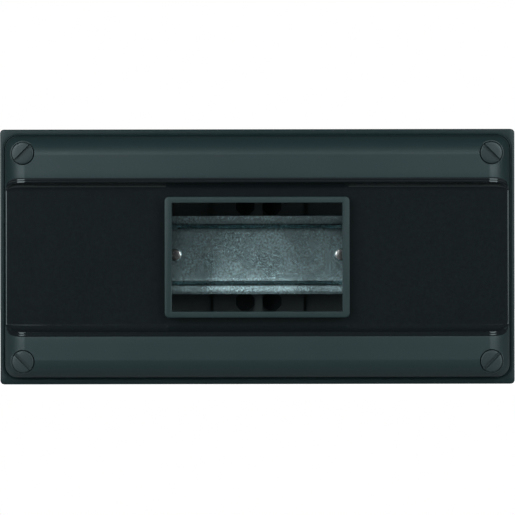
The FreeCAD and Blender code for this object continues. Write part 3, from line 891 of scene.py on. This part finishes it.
def ramp(tree, value, low, high, from_low=0.3, from_high=0.7):
    """Spread a value that runs between two limits, such as a noise's, between two plain numbers."""
    spread = tree.nodes.new("ShaderNodeMapRange")
    spread.inputs["From Min"].default_value = from_low
    spread.inputs["From Max"].default_value = from_high
    spread.inputs["To Min"].default_value = low
    spread.inputs["To Max"].default_value = high
    tree.links.new(value, spread.inputs["Value"])
    return spread.outputs["Result"]


def shades(tree, value, colour, spread):
    """Spread a noise value between a darker and a lighter shade of a colour."""
    mix = tree.nodes.new("ShaderNodeMix")
    mix.data_type = "RGBA"
    mix.inputs["A"].default_value = (*scaled(colour, 1 - spread), 1)
    mix.inputs["B"].default_value = (*scaled(colour, 1 + spread), 1)
    tree.links.new(ramp(tree, value, 0.0, 1.0), mix.inputs["Factor"])
    return mix.outputs["Result"]


def bump(tree, shader, value, depth):
    """A relief of that depth in metres."""
    relief = tree.nodes.new("ShaderNodeBump")
    relief.inputs["Strength"].default_value = 1.0
    relief.inputs["Distance"].default_value = depth
    tree.links.new(value, relief.inputs["Height"])
    tree.links.new(relief.outputs["Normal"], shader.inputs["Normal"])


def moulded(name, colour, roughness, specular, grain, relief, spread=0.1):
    """Moulded plastic: a fine spark-eroded grain and a faint unevenness in its colour and gloss."""
    material, tree, shader = material_of(name, colour, roughness, specular=specular, tint=SHEEN)
    grains = noise(tree, grain, 3.0, 0.6)
    flow = noise(tree, 60.0, 2.0)
    tree.links.new(shades(tree, grains, colour, spread), shader.inputs["Base Color"])
    tree.links.new(ramp(tree, flow, roughness - UNEVEN, roughness + UNEVEN), shader.inputs["Roughness"])
    bump(tree, shader, grains, relief)
    return material


def metal(name, colour, roughness, grain, relief, spread):
    """Zinc-coated steel: small crystals that differ in brightness, and a gloss that varies faintly."""
    material, tree, shader = material_of(name, colour, roughness, metallic=1.0)
    grains = noise(tree, grain, 2.0, 0.5)
    clouds = noise(tree, 90.0, 1.0)
    tree.links.new(shades(tree, grains, colour, spread), shader.inputs["Base Color"])
    tree.links.new(ramp(tree, clouds, roughness - UNEVEN, roughness + UNEVEN), shader.inputs["Roughness"])
    bump(tree, shader, grains, relief)
    return material


def housing(name, outside, painted_light_colour, **finish):
    """The housing's plastic, with painted light inside: its inner faces are painted far paler, standing in
    for light that reaches them.
    """
    material = moulded(name, outside, **finish)
    tree = material.node_tree
    shader = tree.nodes["Principled BSDF"]
    skin = shader.inputs["Base Color"].links[0].from_socket
    place = tree.nodes.new("ShaderNodeTexCoord")
    split = tree.nodes.new("ShaderNodeSeparateXYZ")
    tree.links.new(place.outputs["Object"], split.inputs["Vector"])
    parts = []
    for axis, limit in (("X", HALF_WIDTH - INNER_WALL), ("Z", HALF_HEIGHT - INNER_WALL)):
        away = maths(tree, "ABSOLUTE", split.outputs[axis])
        parts.append(ramp(tree, away, 1.0, 0.0, (limit - WALL_FADE) * MM, limit * MM))
    back = -BACK_WALL * MM
    parts.append(ramp(tree, split.outputs["Y"], 1.0, 0.0, back - BACK_FADE * MM, back))
    # The mask picks out the inside faces, which get the painted light colour
    painted_light_mask = maths(tree, "MULTIPLY", maths(tree, "MULTIPLY", parts[0], parts[1]), parts[2])
    mix = tree.nodes.new("ShaderNodeMix")
    mix.data_type = "RGBA"
    mix.inputs["B"].default_value = (*painted_light_colour, 1)
    tree.links.new(skin, mix.inputs["A"])
    tree.links.new(painted_light_mask, mix.inputs["Factor"])
    tree.links.new(mix.outputs["Result"], shader.inputs["Base Color"])
    return material


band_plastic = moulded(
    "band_plastic", BAND, roughness=0.42, specular=0.43, grain=2600.0, relief=0.00002)
rim_plastic = moulded(
    "rim_plastic", scaled(BAND, 0.85), roughness=0.34, specular=0.20, grain=2000.0, relief=0.000006)
channel_plastic = moulded(
    "channel_plastic", GLOSS, roughness=0.10, specular=0.5, grain=900.0, relief=0.0000004, spread=0.15)
base_plastic = housing(
    "housing_plastic", HOUSING, INSIDE_PAINTED_LIGHT, roughness=0.44, specular=0.38, grain=2600.0, relief=0.00002)
screw_plastic = moulded(
    "screw_plastic", SCREW, roughness=0.40, specular=0.43, grain=3200.0, relief=0.000008)
rail_steel = metal(
    "rail_steel", ZINC, roughness=0.27, grain=1100.0, relief=0.000010, spread=0.42)
screw_steel = metal(
    "screw_steel", BRIGHT_ZINC, roughness=0.22, grain=1200.0, relief=0.000002, spread=0.06)

cover_piece()
for screw_name, (screw_side, screw_level, screw_body) in SCREWS.items():
    cover_screw(screw_name, screw_side, screw_level, screw_body)
din_rail()
rail_screw("rail_screw_left", -1)
rail_screw("rail_screw_right", 1)

for node_name, node in frame["nodes"].items():
    if node_name.startswith("entry_plate") or node_name == "base_housing":
        wear(node, base_plastic)


# Floor, camera and light

# The photograph's scale at the box's front, its width, and how far the eye is from the front
MM_PER_PIXEL = 0.4221
IMAGE_WIDTH = 515
EYE_DISTANCE = 0.798

LAMP_DISTANCE = 1.5


def backdrop(tree, place, near, far):
    """One for camera rays, and for mirrored rays that end well behind the box, else nought."""
    split = tree.nodes.new("ShaderNodeSeparateXYZ")
    tree.links.new(place, split.inputs["Vector"])
    paths = tree.nodes.new("ShaderNodeLightPath")
    glossy = paths.outputs["Is Glossy Ray"]
    mirrored = maths(tree, "MAXIMUM", glossy, paths.outputs["Is Transmission Ray"])
    behind = maths(tree, "MULTIPLY", mirrored, ramp(tree, split.outputs["Y"], 0.0, 1.0, near, far))
    return maths(tree, "MAXIMUM", paths.outputs["Is Camera Ray"], behind)


def floor():
    """A pale floor just under the box, white to the camera but for the box's shadow."""
    mesh = bpy.data.meshes.new("floor")
    reach = 0.6
    near = -0.12
    level = CAD_BOX[0].z - 0.2 * MM
    corners = [(-reach, near, level), (reach, near, level), (reach, reach, level), (-reach, reach, level)]
    mesh.from_pydata(corners, [], [(0, 1, 2, 3)])
    plane = bpy.data.objects.new("floor", mesh)
    bpy.context.scene.collection.objects.link(plane)
    material, tree, shader = material_of("floor_paper", (0.5, 0.5, 0.5), 0.9, specular=0.0)
    place = tree.nodes.new("ShaderNodeTexCoord")
    seen = backdrop(tree, place.outputs["Object"], 0.1, 0.3)
    shader.inputs["Emission Color"].default_value = (1, 1, 1, 1)
    tree.links.new(ramp(tree, seen, 0.0, 0.9, 0.0, 1.0), shader.inputs["Emission Strength"])
    mesh.materials.append(material)


def camera():
    """A long lens, level and square to the front, a little above and right of the middle."""
    data = bpy.data.cameras.new("camera")
    frame_width = MM_PER_PIXEL * IMAGE_WIDTH * MM
    data.sensor_width = 36.0
    data.lens = data.sensor_width * EYE_DISTANCE / frame_width
    data.shift_x = -0.0295
    data.shift_y = -0.0734
    eye = bpy.data.objects.new("camera", data)
    bpy.context.scene.collection.objects.link(eye)
    eye.location = (6.6 * MM, -FRONT * MM - EYE_DISTANCE, 15.8 * MM)
    eye.rotation_euler = (math.radians(90), math.radians(0.09), 0)
    bpy.context.scene.camera = eye


def softbox(name, azimuth, elevation, width, height, radiance):
    """An oval lamp that faces the front's middle, azimuth measured from straight ahead."""
    data = bpy.data.lights.new(name, "AREA")
    data.shape = "ELLIPSE"
    data.size = width
    data.size_y = height
    data.energy = radiance * width * height * math.pi ** 2 / 4
    lamp = bpy.data.objects.new(name, data)
    bpy.context.scene.collection.objects.link(lamp)
    turn = math.radians(azimuth)
    lift = math.radians(elevation)
    level = math.cos(lift)
    way = Vector((math.sin(turn) * level, -math.cos(turn) * level, math.sin(lift)))
    lamp.location = Vector((0, -FRONT * MM, 0)) + way * LAMP_DISTANCE
    lamp.rotation_euler = way.to_track_quat("Z", "Y").to_euler()
    lamp.visible_camera = False


def world():
    """White where the camera looks past the object, dim towards the photographer."""
    sky = bpy.data.worlds.new("studio")
    bpy.context.scene.world = sky
    sky.use_nodes = True
    tree = sky.node_tree
    background = tree.nodes["Background"]
    place = tree.nodes.new("ShaderNodeTexCoord")
    seen = backdrop(tree, place.outputs["Generated"], 0.88, 0.97)
    paths = tree.nodes.new("ShaderNodeLightPath")
    level = ramp(tree, paths.outputs["Is Glossy Ray"], 0.5, 0.05, 0.0, 1.0)
    tree.links.new(maths(tree, "MAXIMUM", seen, level), background.inputs["Strength"])
    background.inputs["Color"].default_value = (1, 1, 1, 1)


floor()
camera()
world()
softbox("softbox_left", azimuth=-36, elevation=14, width=1.26, height=1.15, radiance=4.12)
softbox("softbox_right", azimuth=38, elevation=14, width=1.20, height=1.15, radiance=3.82)
softbox("softbox_top_left", azimuth=-22, elevation=28, width=0.35, height=0.35, radiance=6.6)
softbox("softbox_top_right", azimuth=22, elevation=28, width=0.35, height=0.35, radiance=6.0)

scene = bpy.context.scene
scene.view_settings.view_transform = "Standard"
